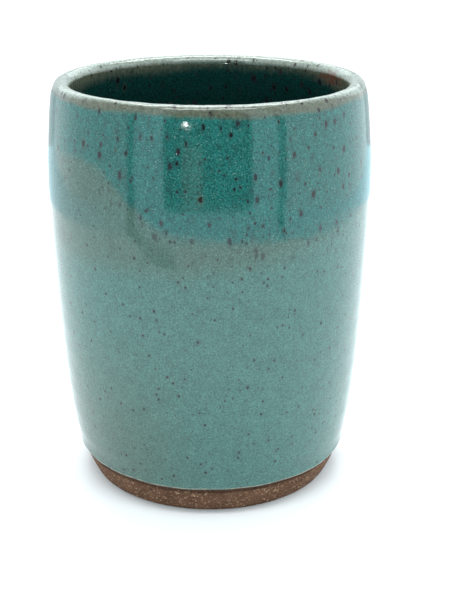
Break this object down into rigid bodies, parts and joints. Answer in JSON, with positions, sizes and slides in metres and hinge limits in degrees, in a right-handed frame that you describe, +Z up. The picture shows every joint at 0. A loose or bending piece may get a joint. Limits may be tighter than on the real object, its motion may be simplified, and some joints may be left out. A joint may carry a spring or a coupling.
{
  "type": "brush holder pot",
  "caption": "Wheel-thrown stoneware pot with a barrel wall, a rounded lip, a bare trimmed foot and glossy teal glaze, for standing brushes and pens upright.",
  "frame": {"origin": "middle of the foot, on the surface that the pot stands on", "axes": "+Z up along the pot's axis, out of the mouth; the swag of the second coat hangs across the -Y side"},
  "size_m": [0.089, 0.0892, 0.114],
  "materials": {
    "clay": "matte",
    "liner_glaze": "gloss",
    "teal_glaze": "gloss",
    "deep_teal_glaze": "gloss",
    "olive_glaze": "gloss"
  },
  "bodies": {
    "root": {"clay_body": "clay", "inner_glaze": "liner_glaze", "outer_glaze": "teal_glaze", "upper_glaze": "deep_teal_glaze", "rim_glaze": "olive_glaze"}
  },
  "joints": []
}
